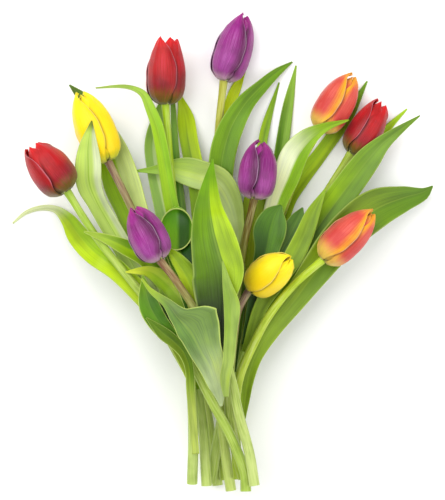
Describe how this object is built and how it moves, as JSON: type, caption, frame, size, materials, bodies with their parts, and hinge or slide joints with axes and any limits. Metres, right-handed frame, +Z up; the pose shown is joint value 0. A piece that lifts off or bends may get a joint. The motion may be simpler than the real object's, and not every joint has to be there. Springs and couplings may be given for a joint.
{
  "type": "bunch of tulips",
  "caption": "Loose bunch of cut tulips in red, purple, yellow and orange, with long curved leaves and crossing stems, lying down on a flat surface.",
  "frame": {"origin": "centre of the bounding box in plan, on the surface the bunch lies on", "axes": "+Y from the cut stem feet towards the flowers (longest extent), +X across the fan, +Z up from the surface (shortest extent)"},
  "size_m": [0.3487, 0.3939, 0.1032],
  "materials": {
    "stem_green": "waxy satin",
    "stem_brown": "waxy satin",
    "leaf_green": "waxy satin",
    "leaf_bright": "waxy satin",
    "leaf_pale": "waxy satin",
    "leaf_dark": "waxy satin",
    "leaf_grey": "waxy satin",
    "petal_red": "soft satin",
    "petal_purple": "soft satin",
    "petal_yellow": "soft satin",
    "petal_orange": "soft satin"
  },
  "bodies": {
    "root": {"stem_red_top": "stem_green", "outer_tepals_red_top": "petal_red", "inner_tepals_red_top": "petal_red", "stem_red_left": "stem_green", "outer_tepals_red_left": "petal_red", "inner_tepals_red_left": "petal_red", "stem_red_right": "stem_green", "outer_tepals_red_right": "petal_red", "inner_tepals_red_right": "petal_red", "stem_purple_top": "stem_green", "outer_tepals_purple_top": "petal_purple", "inner_tepals_purple_top": "petal_purple", "stem_purple_left": "stem_brown", "outer_tepals_purple_left": "petal_purple", "inner_tepals_purple_left": "petal_purple", "stem_purple_centre": "stem_brown", "outer_tepals_purple_centre": "petal_purple", "inner_tepals_purple_centre": "petal_purple", "stem_yellow_left": "stem_brown", "outer_tepals_yellow_left": "petal_yellow", "inner_tepals_yellow_left": "petal_yellow", "stem_yellow_right": "stem_brown", "outer_tepals_yellow_right": "petal_yellow", "inner_tepals_yellow_right": "petal_yellow", "stem_orange_top": "stem_green", "outer_tepals_orange_top": "petal_orange", "inner_tepals_orange_top": "petal_orange", "stem_orange_right": "stem_green", "outer_tepals_orange_right": "petal_orange", "inner_tepals_orange_right": "petal_orange", "leaf_far_left_arched": "leaf_bright", "leaf_pale_left": "leaf_pale", "leaf_behind_yellow_left": "leaf_green", "leaf_hooked_tip": "leaf_green", "leaf_behind_red_top": "leaf_bright", "leaf_straight_dark": "leaf_grey", "leaf_bluish_left": "leaf_grey", "leaf_broad_arch": "leaf_pale", "leaf_front_centre": "leaf_bright", "leaf_front_folded": "leaf_grey", "leaf_front_small": "leaf_grey", "leaf_yellow_tipped": "leaf_pale", "leaf_left_dark_outer": "leaf_green", "leaf_left_dark_inner": "leaf_dark", "leaf_left_sheath": "leaf_bright", "leaf_left_pointed": "leaf_green", "leaf_yellow_green_centre": "leaf_bright", "leaf_tall_centre": "leaf_green", "leaf_behind_purple_top": "leaf_bright", "leaf_narrow_centre_right": "leaf_bright", "leaf_straight_right": "leaf_green", "leaf_pale_right": "leaf_pale", "leaf_right_behind_orange": "leaf_green", "leaf_right_long": "leaf_grey", "leaf_right_tip_behind": "leaf_bright", "leaf_right_big": "leaf_grey", "leaf_right_middle": "leaf_pale", "leaf_spoon_dark": "leaf_dark", "leaf_dark_right_behind": "leaf_grey", "leaf_curled_bowl": "leaf_dark"}
  },
  "joints": []
}
